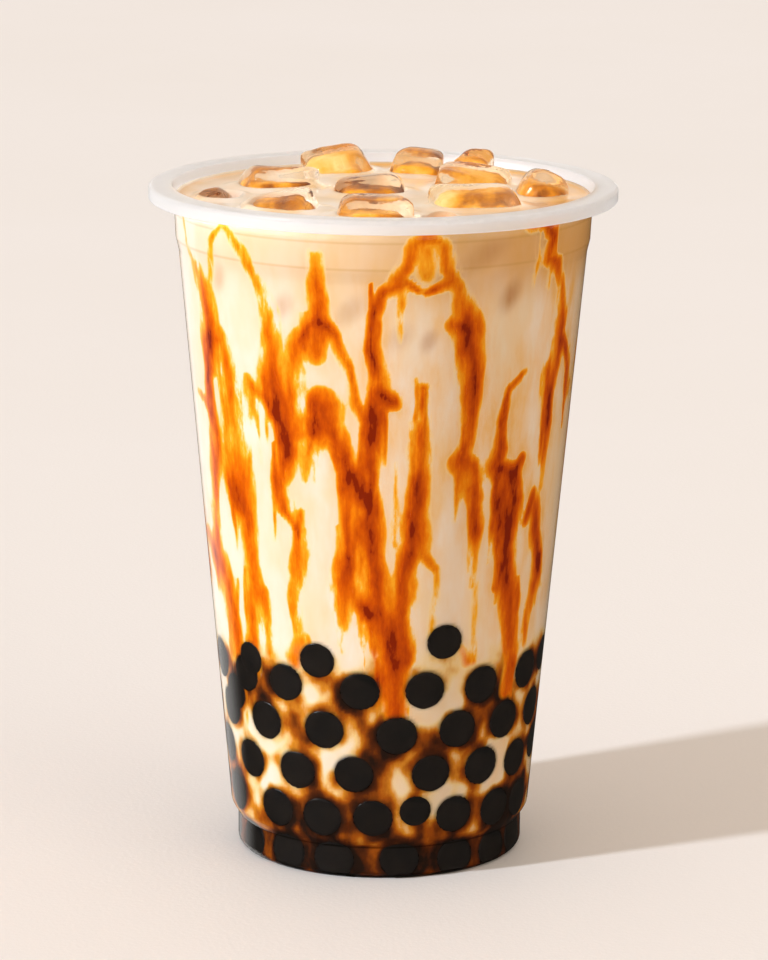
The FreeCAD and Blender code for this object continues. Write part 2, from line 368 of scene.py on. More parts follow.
def fillBox(bm, low, high):  # stretches a mesh to fit exactly between two corners
    spots = np.array([vert.co for vert in bm.verts])
    least, most = spots.min(0), spots.max(0)
    for vert in bm.verts:
        share = [(vert.co[i] - least[i]) / (most[i] - least[i]) for i in range(3)]
        vert.co = Vector([low[i] + share[i] * (high[i] - low[i]) for i in range(3)])


def makeIce(name, cube, material, seed):
    longShare, wideShare, yaw, tilt, roll, _ = cube
    reach = wallRadius(cup["wallTop"])
    low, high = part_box(name)
    middle = (low + high) / 2
    bm = roughCube(Vector((longShare * reach, wideShare * reach, high.z - low.z)), seed)
    turned = Matrix.Rotation(math.radians(yaw), 4, "Z") @ Matrix.Rotation(math.radians(roll), 4, "Y")
    turned = turned @ Matrix.Rotation(math.radians(tilt), 4, "X")
    bmesh.ops.transform(bm, matrix=turned, verts=bm.verts)
    fillBox(bm, low, high)
    wider = (ice["swell"], ice["swell"], 1)
    bmesh.ops.scale(bm, vec=wider, verts=bm.verts, space=Matrix.Translation(-middle))
    pullIn(bm.verts, [reach - ice["wallGap"]] * len(bm.verts))
    bmesh.ops.recalc_face_normals(bm, faces=bm.faces)
    core = bm.copy()
    middle.z -= ice["coreSink"] * (high.z - low.z)
    bmesh.ops.scale(core, vec=ice["coreSize"], verts=core.verts, space=Matrix.Translation(-middle))
    piece = addPiece(name.replace("ice_", "iceCube_"), bm, material, (name,))
    piece.visible_shadow = False
    return core


def makeIceAndCores():
    iceLook = makeIceLook()
    cores = bmesh.new()
    dark = []
    for order, (name, cube) in enumerate(iceCubes.items()):
        core = makeIce(name, cube, iceLook, ice["seed"] + order)
        middle = np.mean([vert.co.x for vert in core.verts])
        dark += [cube[-1] + ice["coreSlope"] * (vert.co.x - middle) for vert in core.verts]
        mesh = bpy.data.meshes.new("core")
        core.to_mesh(mesh)
        core.free()
        cores.from_mesh(mesh)
        bpy.data.meshes.remove(mesh)
    setField(addPiece("teaInIce", cores, makeCoreLook()), "dark", dark)


makeIceAndCores()


print("pearls")
pearls = dict(
    diameter=9.6 * mm,
    press=2.3 * mm,  # how far the wall flattens one
    disc=4.15 * mm,  # radius of the flattened spot
    reach=0.22 * mm,  # how far into the wall it goes, past the drink
    pressedEdge=0.01,  # over how much of its way out to the wall a pearl turns matt
    pitch=11.2 * mm,
    front=(0.5, (-0.4 * mm, 0.4 * mm), (0.95, 1.03)),  # how far one strays: turn, heights, sizes
    back=(3, (-1.3 * mm, 1.3 * mm), (0.9, 1.03)),
    loose=(8, (-2 * mm, 5 * mm), (0.75, 0.95)),
    looseTurns=range(100, 280, 26),  # single ones on top of the heap's back
    looseHeight=46 * mm,
    wallFineness=4,
    wallLowest=cup["floor"] + cup["puntHeight"] * 0.2,
    floorRings=((20 * mm, 11), (10 * mm, 6), (0, 1)),  # radius and count of those that lie on the floor
    floorFineness=2,
    floorLowest=cup["floor"] + cup["puntHeight"] - 0.2 * mm,
    lean=(0.1, 0.5),  # slope of the painted shade cap at the top of a spot
    capSizes=(0.95, 1.1, 1.3, 1.6),
    capEdge=(0.55, 0.7),
    seed=5,
)
# rows seen from the front: height in mm, then turns in degrees
pearlRows = [
    (3.9, [-62, -40, -18, 8, 32, 52, 70]),
    (13.3, [-69, -42, -22, -2, 29, 49, 67]),
    (22.7, [-75, -55, -32, -9, 19, 40, 60]),
    (31.8, [-68, -45, -20, 6, 29, 50, 71]),
    (41.0, [-35, -7, 16, 38, 62]),
]
# single ones: turn in degrees, height in mm, share of the full size
pearlStrays = [(-51, 44.4, 0.78), (-22, 46.7, 0.86), (22, 50.8, 0.86), (13.5, 15.0, 0.72), (-63, 35.8, 0.9)]


def placePearls():  # turn in degrees, height and share of the full size, for each pearl at the wall
    chance = random.Random(pearls["seed"])
    places = []

    def put(turn, height, kind):
        twist, rise, sizes = pearls[kind]
        places.append((
            turn + chance.uniform(-twist, twist),
            height + chance.uniform(*rise),
            chance.uniform(*sizes)))

    for height, turns in pearlRows:
        for turn in turns:
            put(turn, height * mm, "front")
        start, end = max(turns), 360 + min(turns)
        count = round(math.radians(end - start) * wallRadius(height * mm) / pearls["pitch"])
        for step in range(1, count):
            put(start + (end - start) * step / count, height * mm, "back")
    for turn in pearls["looseTurns"]:
        put(turn, pearls["looseHeight"], "loose")
    return places + [(turn, height * mm, size) for turn, height, size in pearlStrays]


pearlPlaces = placePearls()


def makePearlLook():
    look = Look("tapiocaPearl")
    mottle = look.cloud(scale=240, detail=4)
    pressed = look.field("pressed")
    tone = look.mix(mottle.ease(0.35, 0.7), colour("0c0807"), colour("1a120e"))
    # painted sheen: the face pressed to the wall is mixed towards a colour standing in for reflected light
    tone = look.mix(pressed * mottle.between(0.1, 0.8), tone, colour("110d09"))
    # painted shade: a black cap at the top of a spot, where the pearl curves away from the wall
    tone = look.mix(look.field("cap"), tone, colour("030202"))
    return look.finish(look.principled({
        "Base Color": tone,
        "Roughness": pressed.between(0.22, 0.42),
        "IOR": 1.4,
        "Specular IOR Level": 0.22,
        "Normal": look.bump(look.cloud(scale=700), distance=0.08 * mm, strength=0.5)}))


def addPearl(bm, middle, radius, fineness, lowest):
    ball = bmesh.ops.create_icosphere(bm, subdivisions=fineness, radius=radius)["verts"]
    for vert in ball:
        vert.co += middle
        vert.co.z = max(vert.co.z, lowest)
    return ball


def makePearls():
    bm = bmesh.new()
    fullRadius = pearls["diameter"] / 2
    chance = random.Random(pearls["seed"] + 1)
    rises = []  # how high each point lies on its pearl's flattened spot, leaning a little to one side
    for turn, height, size in pearlPlaces:
        angle = math.radians(turn)
        radius = fullRadius * size
        outer = wallRadius(height) + pearls["press"] - radius
        middle = Vector((outer * math.sin(angle), -outer * math.cos(angle), height))
        side = Vector((math.cos(angle), math.sin(angle), 0))
        slope = Vector((0, 0, 1)) + side * chance.uniform(*pearls["lean"])
        spot = pearls["disc"] * size * chance.choice(pearls["capSizes"])
        ball = addPearl(bm, middle, radius, pearls["wallFineness"], pearls["wallLowest"])
        rises += [(vert.co - middle).dot(slope) / spot for vert in ball]
    for ring, count in pearls["floorRings"]:
        for step in range(count):
            angle = 2 * math.pi * step / count
            middle = Vector((ring * math.cos(angle), ring * math.sin(angle), fullRadius))
            ball = addPearl(bm, middle, fullRadius, pearls["floorFineness"], pearls["floorLowest"])
            rises += [0.0] * len(ball)
    x, y, z = np.array([vert.co for vert in bm.verts]).T
    reach = np.hypot(x, y)
    limit = wallRadius(z) + pearls["reach"]
    pullIn(bm.verts, limit)
    piece = addPiece("tapiocaPearls", bm, makePearlLook(), ("pearls",))
    pressed = easeArray(reach / limit, 1, 1 + pearls["pressedEdge"])
    setField(piece, "pressed", pressed)
    setField(piece, "cap", easeArray(np.array(rises), *pearls["capEdge"]) * pressed)


makePearls()


print("syrup")
syrup = dict(
    soft=1.88,  # how far out a run has faded, as a share of its half width
    softChange=0.45,
    fall=1.25,
    widen=0.86,
    widthChange=0.6,
    deepChange=0.25,
    merge=0.3,  # how much runs that cross add up
    sway=1.3 * mm,  # how far a run strays sideways
    swayRise=2.6 * mm,  # and up and down
    span=24,  # no part of a run spreads farther round than this, in degrees
    washReach=6.0 * mm,  # how far the drink beside a run is tinted
    bedFade=(24 * mm, 32 * mm),  # the heights between which the runs fade out in the bed
    filmFrom=0.45,  # where the syrup is thick enough to be a film of its own
    filmStart=0.02,  # over how much more syrup the film grows out of the drink
    filmFull=0.25,
    film=0.1 * mm,
    filmSunk=0.3,  # how deep its edge lies, as a share of its thickness
    filmSmoothing=3,
    rimAngle=math.radians(50),
    seed=23,
    backRuns=17,
    backTurns=(84, 276),
    backShift=(0.25, 0.75),
    backStarts=[133, 128, 118, 108, 100],
    backEnds=(40, 66),
    backStrengths=(0.55, 0.95),
    backWidths=(2.2, 5.6),
    backFades=(0.8, 1.15),
    backStray=3.2,
    backSteps=(6, 11),
    forkChance=0.24,
    forkTurns=(4, 8),
    forkDrops=(15, 26),
    dripFrom=0.55,
    dripChance=0.4,
    dripSides=(0.4, 1.1),
    dripLengths=(7, 20),
    dripStray=1.5,
)
# each run: turn in degrees, height in mm, width in mm, strength
syrupRuns = [
    [(-71, 133, 2.0, 0.42), (-66, 125, 3.2, 0.5), (-61, 118, 4.4, 0.66), (-60, 109, 5.4, 0.92),
     (-60, 104, 3, 0.6)],
    [(-60, 109, 4, 0.8), (-64, 101, 4, 0.62), (-63, 93, 4.8, 0.64), (-63, 84, 5, 0.62), (-66, 73, 4, 0.6),
     (-67, 66, 4, 0.6)],
    [(-72, 99, 2, 0.3), (-67, 97, 3, 0.56), (-62, 92, 3.5, 0.6), (-57, 84, 3.2, 0.56), (-52, 76, 4, 0.58)],
    [(-59, 108, 3, 0.7), (-53, 109, 4, 0.62), (-51, 100, 4.6, 0.6), (-51, 90, 5, 0.6),
     (-49, 80, 5.4, 0.64), (-47, 70, 5.2, 0.68), (-46, 60, 5, 0.64), (-48, 50, 5, 0.6), (-50, 43, 6, 0.6)],
    [(-78, 67, 4, 0.5), (-71, 64, 5, 0.6), (-65, 62, 6, 0.7), (-60, 58, 5, 0.66), (-58, 51, 4.5, 0.6),
     (-59, 44, 4.5, 0.55)],
    [(-48, 134, 1.6, 0.3), (-54, 130, 1.6, 0.32), (-56, 122, 1.8, 0.26)],
    [(-48, 134, 1.6, 0.3), (-41, 129, 2, 0.42), (-36, 122, 2.4, 0.52), (-33, 116, 3.2, 0.56),
     (-33, 108, 4, 0.7), (-33, 102, 5, 0.9), (-30, 95, 5.4, 0.95), (-29, 89, 5.2, 0.95),
     (-32, 82, 3.4, 0.8), (-31, 77, 3.4, 0.9), (-28, 74, 2, 0.6)],
    [(-42, 102, 2.8, 0.6), (-38, 100, 3, 0.7), (-34, 97, 4, 0.8)],
    [(-42, 100, 1.8, 0.36), (-45, 84, 2.4, 0.4), (-46, 70, 2.4, 0.38), (-43, 58, 2, 0.34)],
    [(-26, 77, 2.0, 0.6), (-27, 72, 2.6, 0.68), (-28, 64, 1.8, 0.56), (-28, 52, 1.8, 0.4)],
    [(-42, 58, 3, 0.5), (-41, 46, 3.2, 0.55)],
    [(-19, 130, 2.6, 0.58), (-19, 122, 4.0, 0.74), (-18.5, 115, 5.6, 0.95), (-18.5, 110, 3, 0.9)],
    [(-20, 115, 3, 0.85), (-24, 111, 2.8, 0.72), (-26, 106, 2.6, 0.62), (-27, 98, 2.2, 0.54),
     (-25, 93, 2, 0.5)],
    [(-17, 115, 3, 0.9), (-13, 113, 3, 0.8), (-9, 108, 3, 0.74), (-8, 101, 2.2, 0.6), (-6, 97, 2, 0.56)],
    [(-22, 93, 2.6, 0.8), (-17, 99, 4.6, 0.96), (-18, 94, 5, 0.98), (-13, 91, 4.4, 0.96),
     (-9, 86, 4.6, 0.9), (-10, 80, 3.6, 0.86), (-11, 72, 3.2, 0.8), (-12, 62, 3.6, 0.84),
     (-12, 54, 2.4, 0.5)],
    [(4, 124, 2.4, 0.74), (0, 122, 3.2, 0.86), (-3, 117, 3.2, 0.86), (-3, 111, 4.2, 0.95),
     (-1, 105, 4.2, 0.9), (-2, 98, 3.8, 0.88), (-3, 90, 4.2, 0.9), (-4, 82, 5.4, 0.97),
     (-5, 76, 6.6, 1.0), (-3, 70, 5.2, 0.94), (0, 62, 5, 0.9), (3, 54, 5.6, 0.86), (5, 46, 6, 0.86),
     (5, 39, 5, 0.8), (6, 34, 4, 0.7)],
    [(-8, 85, 4, 0.85), (-6, 80, 4, 0.95)],
    [(-7, 74, 3.5, 0.85), (-10, 68, 3, 0.76), (-8, 60, 3, 0.7), (-3, 57, 3.5, 0.8)],
    [(-1, 103, 3, 0.8), (3, 101, 3.4, 0.95)],
    [(3, 125, 2, 0.6), (7, 128, 2.4, 0.64), (9, 133, 2.2, 0.56), (13, 134.5, 2, 0.5),
     (16, 133, 2.2, 0.56), (18, 128, 2.2, 0.58), (22, 122, 2.4, 0.56), (24, 117, 3, 0.66)],
    [(6, 125, 2.2, 0.6), (12, 123.5, 2.2, 0.66), (18, 125, 2.2, 0.56)],
    [(12, 131, 5, 0.26), (12, 127, 5, 0.3)],
    [(20, 116, 2.4, 0.7), (25, 114, 4.6, 0.84), (26, 107, 4.8, 0.92), (26, 100, 4.4, 0.98),
     (26, 93, 4, 0.92), (24, 88, 3.8, 0.92), (28, 86, 3.8, 0.86), (31, 80, 3, 0.72), (31, 71, 2, 0.5),
     (31, 61, 1.4, 0.3)],
    [(46, 105, 1.8, 0.5), (41, 102, 3, 0.76), (38, 96, 3, 0.88), (38, 90, 3.6, 0.92), (36, 86, 3.6, 0.92),
     (42, 84, 4.4, 0.92), (45, 78, 4.6, 0.92), (45, 70, 4.6, 0.92), (46, 60, 5, 0.88),
     (49, 52, 4.4, 0.84), (51, 44, 3.4, 0.7), (50, 38, 3, 0.6)],
    [(47, 87, 2.4, 0.74), (44, 83, 3, 0.85)],
    [(42, 66, 2.4, 0.7), (40, 60, 2, 0.5)],
    [(52, 74, 2, 0.66), (56, 78, 3, 0.86), (59, 72, 3.6, 0.88), (61, 65, 4, 0.86), (61, 60, 3, 0.74),
     (58, 54, 2.4, 0.5), (58, 47, 2, 0.4)],
    [(62, 64, 3, 0.74), (67, 58, 2, 0.5)],
    [(45, 133, 2.4, 0.74), (50, 133, 4, 0.86), (53, 131, 2.6, 0.82), (51, 127, 2.6, 0.66),
     (56, 126, 2.6, 0.66), (60, 122, 2.4, 0.62), (62, 116, 4, 0.82), (63, 109, 5, 0.95),
     (61, 101, 3, 0.82), (60, 93, 3.4, 0.86), (60, 86, 2.6, 0.66), (60, 79, 1.8, 0.4)],
    [(65, 110, 3.4, 0.84), (70, 105, 3.4, 0.82), (75, 99, 2.4, 0.6)],
    [(56, 105, 1.8, 0.56), (58, 100, 1.8, 0.6), (60, 96, 2, 0.7)],
    [(11, 104, 3.8, 0.86), (12, 98, 2.8, 0.8), (11, 90, 3.6, 0.78), (11, 81, 4.2, 0.78),
     (10, 72, 4.8, 0.78), (8, 65, 4, 0.74), (7, 56, 3.2, 0.66), (9, 47, 4, 0.74)],
    [(13, 70, 2, 0.5), (17, 66, 1.6, 0.36)],
    [(4, 88, 1.6, 0.3), (5, 72, 1.8, 0.34)],
    [(18, 66, 1.6, 0.24), (17, 52, 1.8, 0.28)],
    [(33, 62, 1.6, 0.2), (33, 46, 2, 0.26)],
    [(24, 52, 3, 0.3), (31, 47, 3, 0.36)],
    [(-26, 50, 3, 0.4), (-31, 46, 2.6, 0.44)],
    [(12, 103, 1.6, 0.4), (8, 97, 1.4, 0.3)],
]


def backRun(chance, turn):  # one run at the back of the cup, with its forks
    height = chance.choice(syrup["backStarts"])
    end = chance.uniform(*syrup["backEnds"])
    strength = chance.uniform(*syrup["backStrengths"])
    run = []
    forks = []
    while height > end:
        width = chance.uniform(*syrup["backWidths"])
        run.append((turn, height, width, min(1, strength * chance.uniform(*syrup["backFades"]))))
        if chance.random() < syrup["forkChance"]:
            side = chance.choice([-1, 1]) * chance.uniform(*syrup["forkTurns"])
            drop = chance.uniform(*syrup["forkDrops"])
            forks.append([
                (turn, height, 3, strength),
                (turn + side, height - 7, 2.6, strength * 0.85),
                (turn + side * 1.2, height - drop, 2, strength * 0.5)])
        turn += chance.uniform(-syrup["backStray"], syrup["backStray"])
        height -= chance.uniform(*syrup["backSteps"])
    return forks + [run]


def backRuns():
    chance = random.Random(syrup["seed"])
    start, end = syrup["backTurns"]
    runs = []
    for step in range(syrup["backRuns"]):
        turn = start + (end - start) * (step + chance.uniform(*syrup["backShift"])) / syrup["backRuns"]
        runs += backRun(chance, turn)
    return runs


def drips(runs):  # thin threads that leave the runs and trail off downwards
    chance = random.Random(syrup["seed"] + 1)
    found = []
    for run in runs:
        for turn, height, width, strength in run:
            if strength < syrup["dripFrom"] or chance.random() > syrup["dripChance"]:
                continue
            turn += chance.choice([-1, 1]) * chance.uniform(*syrup["dripSides"]) * width
            length = chance.uniform(*syrup["dripLengths"])
            tip = turn + chance.uniform(-syrup["dripStray"], syrup["dripStray"])
            found.append([
                (turn, height + 2, 1.0, strength * 0.5),
                (turn, height - length * 0.3, 1.7, strength * 0.75),
                (tip, height - length, 0.9, strength * 0.3)])
    return found


def runAt(run, turn, height, radius, sway):  # how much syrup one run leaves at each point, and how much tint
    amount = np.zeros(len(turn))
    wash = np.zeros(len(turn))
    for (turnA, highA, wideA, deepA), (turnB, highB, wideB, deepB) in zip(run, run[1:]):
        across = around(turn, turnA)
        near = np.nonzero(np.abs(across) < syrup["span"])[0]
        sideways = np.radians(across[near]) * radius[near]
        upward = height[near] - highA * mm
        stepX = np.radians(turnB - turnA) * radius[near]
        stepZ = (highB - highA) * mm
        along = np.clip((sideways * stepX + upward * stepZ) / (stepX ** 2 + stepZ ** 2), 0, 1)
        away = np.hypot(sideways - along * stepX, upward - along * stepZ)
        half = (wideA + (wideB - wideA) * along) * mm / 2 * syrup["widen"]
        half = half * (1 + syrup["widthChange"] * sway["width"][near])
        deep = (deepA + (deepB - deepA) * along) * (1 + syrup["deepChange"] * sway["rise"][near])
        soft = syrup["soft"] * (1 + syrup["softChange"] * sway["soft"][near])
        found = deep * (1 - np.clip(away / half / soft, 0, 1) ** syrup["fall"])
        amount[near] = np.maximum(amount[near], found)
        wash[near] = np.maximum(wash[near], deep * np.exp(-(away / syrup["washReach"]) ** 2))
    return amount, wash


def syrupAt(turn, height, radius, sway):  # syrup and tint on the wall, each from 0 to about 1
    amount = np.zeros(len(turn))
    wash = np.zeros(len(turn))
    bent = turn + np.degrees(sway["side"] * syrup["sway"] / radius)
    raised = height + sway["rise"] * syrup["swayRise"]
    runs = syrupRuns + backRuns()
    for run in runs + drips(runs):
        own, tint = runAt(run, bent, raised, radius, sway)
        amount = np.maximum(amount, own) + syrup["merge"] * np.minimum(amount, own)
        wash = np.maximum(wash, tint)
    return amount * easeArray(height, *syrup["bedFade"]), wash


print("milk tea")
milk = dict(
    steps=336,
    rowHeight=0.63 * mm,
    ringWidth=0.7 * mm,
    reach=0.12 * mm,  # how far into the cup's wall it goes, so that no air shows
    corner=1.2 * mm,
    cornerSteps=5,
    wallFrom=20 * mm,  # points nearer the axis than this count as being here
    meniscus=0.6 * mm,
    meniscusReach=1.8 * mm,
    pitDepth=6.5 * mm,
    pitPower=3,  # a cube's outline seen from above: 2 is an ellipse, more is squarer
    iceRise=0.6 * mm,
    swell=0.25 * mm,
    swellFade=4 * mm,
    # half the width of the painted shade lines at the wall's steps
    stepShadeLine=0.45 * mm,
    farFromSun=70,  # the turn that the sun reaches least, in degrees
    band=(116 * mm, 129 * mm),  # the tan band behind the top of the wall, painted much stronger away from the sun as painted shade
    edgeTan=(33 * mm, 41 * mm),  # the surface is browner near its edge, at the back and at the right
    backTan=(-20 * mm, 10 * mm),
    rightTan=(5 * mm, 38 * mm),
    wetFrom=0.8 * mm,  # how far under its level the drink begins to shine
    wetFull=0.3 * mm,
    smudges=[  # ice that shows faintly through the drink: turn, height, width, length, strength
        (-52, 123, 3, 4, 0.4), (-29, 119, 4, 4, 0.42), (-9, 119, 4.5, 4, 0.44), (5, 114, 4, 4, 0.3),
        (13, 113, 2.6, 3.4, 0.55), (38, 121, 4, 4.5, 0.7), (29, 130, 9, 4, 0.35), (100, 120, 4, 5, 0.5),
        (128, 116, 4, 4, 0.4), (160, 121, 5, 4, 0.45), (196, 118, 4, 5, 0.4), (235, 120, 4, 4, 0.45),
    ],
    smudgeLean=9 * mm,
    bedTop=54 * mm,  # the syrup among the pearls
    bedFade=(52 * mm, 40 * mm),
    bedDeep=(24 * mm, 6 * mm),
    bedFoot=7.4 * mm,
    bedFootDepth=0.78,
    spotShape=1.06,  # how much wider than high a pearl's shadow in the drink is
    shadeEdge=(-0.3 * mm, 0.9 * mm),  # where that shadow starts and ends, from the spot's edge
    besideEdge=(0.2 * mm, 2.6 * mm),
)


def milkProfile():  # from the middle of the floor, up the wall, to the middle of the surface
    floor = cup["floor"] - milk["reach"]
    foot = cup["footRadius"] - cup["wall"] + milk["reach"]
    corner = milk["corner"]
    raised = cup["puntHeight"] + floor
    points = [(0, raised), (cup["puntRadius"] / 2, raised), (cup["puntRadius"], raised),
              (cup["puntRadius"] + cup["puntHeight"], floor)]
    for step in range(milk["cornerSteps"] + 1):
        angle = math.pi / 2 * step / milk["cornerSteps"]
        points.append((foot - corner + corner * math.sin(angle), floor + corner - corner * math.cos(angle)))
    rows = round((drinkLevel - floor - corner) / milk["rowHeight"])
    for height in np.linspace(floor + corner, drinkLevel + milk["meniscus"], rows)[1:]:
        points.append((float(wallRadius(height)) + milk["reach"], float(height)))
    edge = points[-1][0]
    rings = round(edge / milk["ringWidth"])
    for radius in np.linspace(edge, 0, rings)[1:]:
        climb = milk["meniscus"] * max(0, 1 - (edge - radius) / milk["meniscusReach"]) ** 2
        points.append((float(radius), drinkLevel + climb))
    return points


def icePits(x, y):  # how deep under each cube a point is, how near a cube, and how dark that cube's heart
    depth = np.zeros(len(x))
    near = np.zeros(len(x))
    darkness = np.zeros(len(x))
    reach = wallRadius(cup["wallTop"])
    for name, (longShare, wideShare, yaw, _, _, heart) in iceCubes.items():
        low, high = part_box(name)
        angle = math.radians(yaw)
        dx, dy = x - (low.x + high.x) / 2, y - (low.y + high.y) / 2
        across = (dx * math.cos(angle) + dy * math.sin(angle)) / (longShare * reach / 2)
        along = (-dx * math.sin(angle) + dy * math.cos(angle)) / (wideShare * reach / 2)
        power = milk["pitPower"]
        out = (np.abs(across) ** power + np.abs(along) ** power) ** (1 / power)
        depth = np.maximum(depth, 1 - easeArray(out, 0.35, 0.88))
        near = np.maximum(near, 1 - easeArray(out, 0.9, 1.35))
        darkness = np.maximum(darkness, (1 - easeArray(out, 0.5, 0.95)) * heart)
    return depth, near, darkness


def pearlMarks(turn, z, wall):  # 1 on a pearl's flattened spot, and 1 just beside it
    shade = np.zeros(len(z))
    beside = np.zeros(len(z))
    for place, height, size in pearlPlaces:
        across = np.radians(around(turn, place)) * wall
        out = np.hypot(across, (z - height) * milk["spotShape"]) - pearls["disc"] * size
        shade = np.maximum(shade, 1 - easeArray(out, *milk["shadeEdge"]))
        beside = np.maximum(beside, 1 - easeArray(out, *milk["besideEdge"]))
    return shade, beside


def bedSyrup(spots, beside):  # how brown the drink is among the pearls
    z = spots[:, 2]
    flat = spots * (1, 1, 0.7)
    patches = wobble(flat, 120, 6) * 0.62 + wobble(flat, 330, 7) * 0.3
    upper = easeArray(z, *milk["bedFade"]) * (0.2 + patches * 1.5 + beside * 0.3)
    murk = np.clip(upper + easeArray(z, *milk["bedDeep"]) * 0.5, 0, 1) * (z < milk["bedTop"])
    return np.where(z < milk["bedFoot"], np.maximum(murk, milk["bedFootDepth"]), murk)


def tanAndPaintedShade(spots, radius, shaded, onTop, marble):  # a browner band on the wall, much of it painted shade on the side away from the sun, and the drink's surface
    x, y, z = spots.T
    # the band is painted far stronger where the wall faces away from the sun: painted shade
    band = easeArray(z, *milk["band"]) * (0.06 + 0.78 * shaded ** 1.5)
    edge = easeArray(radius, *milk["edgeTan"]) * (0.5 + 0.5 * easeArray(y, *milk["backTan"]))
    right = easeArray(x, *milk["rightTan"])
    return np.where(onTop, 0.12 + 0.45 * marble + 0.6 * edge + 0.45 * right, band)


def iceSmudges(turn, z, wall):
    smudge = np.zeros(len(z))
    for place, height, wide, high, strength in milk["smudges"]:
        across = np.radians(around(turn, place)) * wall
        upward = (z - height * mm) / (high * mm) - across / milk["smudgeLean"]
        out = np.hypot(across / (wide * mm), upward)
        smudge = np.maximum(smudge, strength * (1 - easeArray(out, 0.1, 1.0)))
    return smudge


def milkFields(spots, onTop, darkness):  # what the drink's look reads at each point
    x, y, z = spots.T
    radius = np.hypot(x, y)
    turn = turnOf(x, y)
    wall = np.maximum(radius, milk["wallFrom"])
    side = 0.75 * wobble(spots * (1, 1, 0.55), 90, 1) + 0.6 * wobble(spots * (1, 1, 0.5), 280, 8)
    sway = dict(
        side=side,
        rise=wobble(spots, 70, 2),
        width=wobble(spots * (1, 1, 0.6), 130, 4),
        soft=wobble(spots * (1, 1, 0.7), 60, 9),
    )
    amount, wash = syrupAt(turn, z, wall, sway)
    shade, beside = pearlMarks(turn, z, wall)
    shaded = 0.5 + 0.5 * np.cos(np.radians(turn - milk["farFromSun"]))
    marble = wobble(spots * (1, 1, 0) + sway["width"][:, None] * 4 * mm, 120, 12)
    fields = {
        "syrup": amount,
        # the syrup's tint beside the runs, made stronger on the side away from the sun, plus an even painted
        # shade tint on that side
        "wash": wash * (0.2 + 0.8 * shaded) + 0.3 * shaded ** 2,
        "pearlShade": shade,
        "smudge": iceSmudges(turn, z, wall),
    }
    fields = {key: np.where(onTop, 0, value) for key, value in fields.items()}
    fields["murk"] = bedSyrup(spots, beside)
    fields["tan"] = tanAndPaintedShade(spots, radius, shaded, onTop, marble)
    fields["pit"] = onTop * darkness
    return fields


def makeMilkLook():
    look = Look("milkTea")
    amount = look.field("syrup")
    murk = look.field("murk")
    height = look.height()
    threads = look.cloud(scale=230, detail=5, stretch=(1, 1, 0.32), roughness=0.62)
    swirl = look.cloud(scale=85, stretch=(1, 1, 0.5))
    tone = look.mix(swirl.ease(0.4, 0.62), colour("f6e8da"), colour("f3e0c6"))
    # syrup tint, and painted shade on the side away from the sun
    tone = look.mix(look.field("wash") * (threads.sway(2.5) + 0.6), tone, colour("f2ba58"))
    # the wall's tan band, partly painted shade, and the surface's own tan
    tone = look.mix(look.field("tan"), tone, colour("dfa858"))
    for ring in (cup["shoulderTop"], cup["wallTop"]):  # a faint painted shade line where the wall is stepped
        tone = look.mix(height.line(ring, milk["stepShadeLine"]) * 0.32, tone, colour("cc9a4c"))
    tone = look.mix(look.field("smudge") * threads.between(0.3, 1.5), tone, colour("bb8048"))

    runs = amount + threads.sway(1.7) * amount.ease(0.02, 0.3) + swirl.sway(0.5) * amount.ease(0.1, 0.5)
    runTone = look.ramp(runs, [
        (0.0, "fbe9cc"), (0.12, "fbdc9a"), (0.24, "fab42a"), (0.42, "f18c06"), (0.62, "df6a00"),
        (0.8, "ca5200"), (0.95, "b24003"), (1.0, "8a2400")])
    tone = look.mix(runs.ease(0.03, 0.2), tone, runTone)

    grain = look.cloud(scale=300, detail=5, stretch=(1, 1, 0.6))
    bedTone = look.ramp(murk + grain.sway(0.7) * murk.ease(0, 0.4), [
        (0.0, "f8ecd0"), (0.25, "f0cf90"), (0.42, "d98e28"), (0.6, "a8540c"), (0.8, "5c290a"),
        (1.0, "22120a")])
    tone = look.mix(murk.ease(0.02, 0.3) * (1 - amount.ease(0.2, 0.5)), tone, bedTone)
    tone = look.mix(look.field("pearlShade") ** 1.3, tone, colour("1a100b"))
    amber = look.mix(look.cloud(scale=170, detail=4).ease(0.4, 0.62), colour("d98a22"), colour("8a430c"))
    tone = look.mix(look.field("pit"), tone, amber)

    wet = height.ease(drinkLevel - milk["wetFrom"], drinkLevel - milk["wetFull"])
    return look.finish(look.principled({
        "Base Color": tone,
        "Roughness": look.cloud(scale=60, detail=2).between(0.24, 0.34),
        "IOR": 1.35,
        "Specular IOR Level": 0.1,
        "Coat Weight": wet * 0.7,
        "Coat Roughness": 0.08,
        "Coat IOR": 1.35,
        "Normal": look.bump(look.cloud(scale=45), distance=0.6 * mm, strength=0.25)}))


def makeMilk():
    bm = spinProfile(milkProfile(), milk["steps"])
    spots = np.array([vert.co for vert in bm.verts])
    x, y, z = spots.T
    toWall = wallRadius(drinkLevel) - np.hypot(x, y)
    onTop = (z > drinkLevel - 0.1 * mm) & (toWall > 0.01 * mm)
    depth, near, darkness = icePits(x, y)
    swell = wobble(spots * (1, 1, 0), 60, 3) * milk["swell"]
    fade = easeArray(toWall, 0, milk["swellFade"])
    rise = (near * milk["iceRise"] + swell) * fade - depth * milk["pitDepth"]
    for vert, lift in zip(bm.verts, np.where(onTop, rise, 0)):
        vert.co.z += lift
    bmesh.ops.recalc_face_normals(bm, faces=bm.faces)
    for key, values in milkFields(spots, onTop, darkness).items():
        layer = bm.verts.layers.float.new(key)
        for vert, value in zip(bm.verts, values):
            vert[layer] = value
    look = makeMilkLook()
    makeSyrup(bm.copy(), look)
    addPiece("milkTea", bm, look, ("milk_tea",))


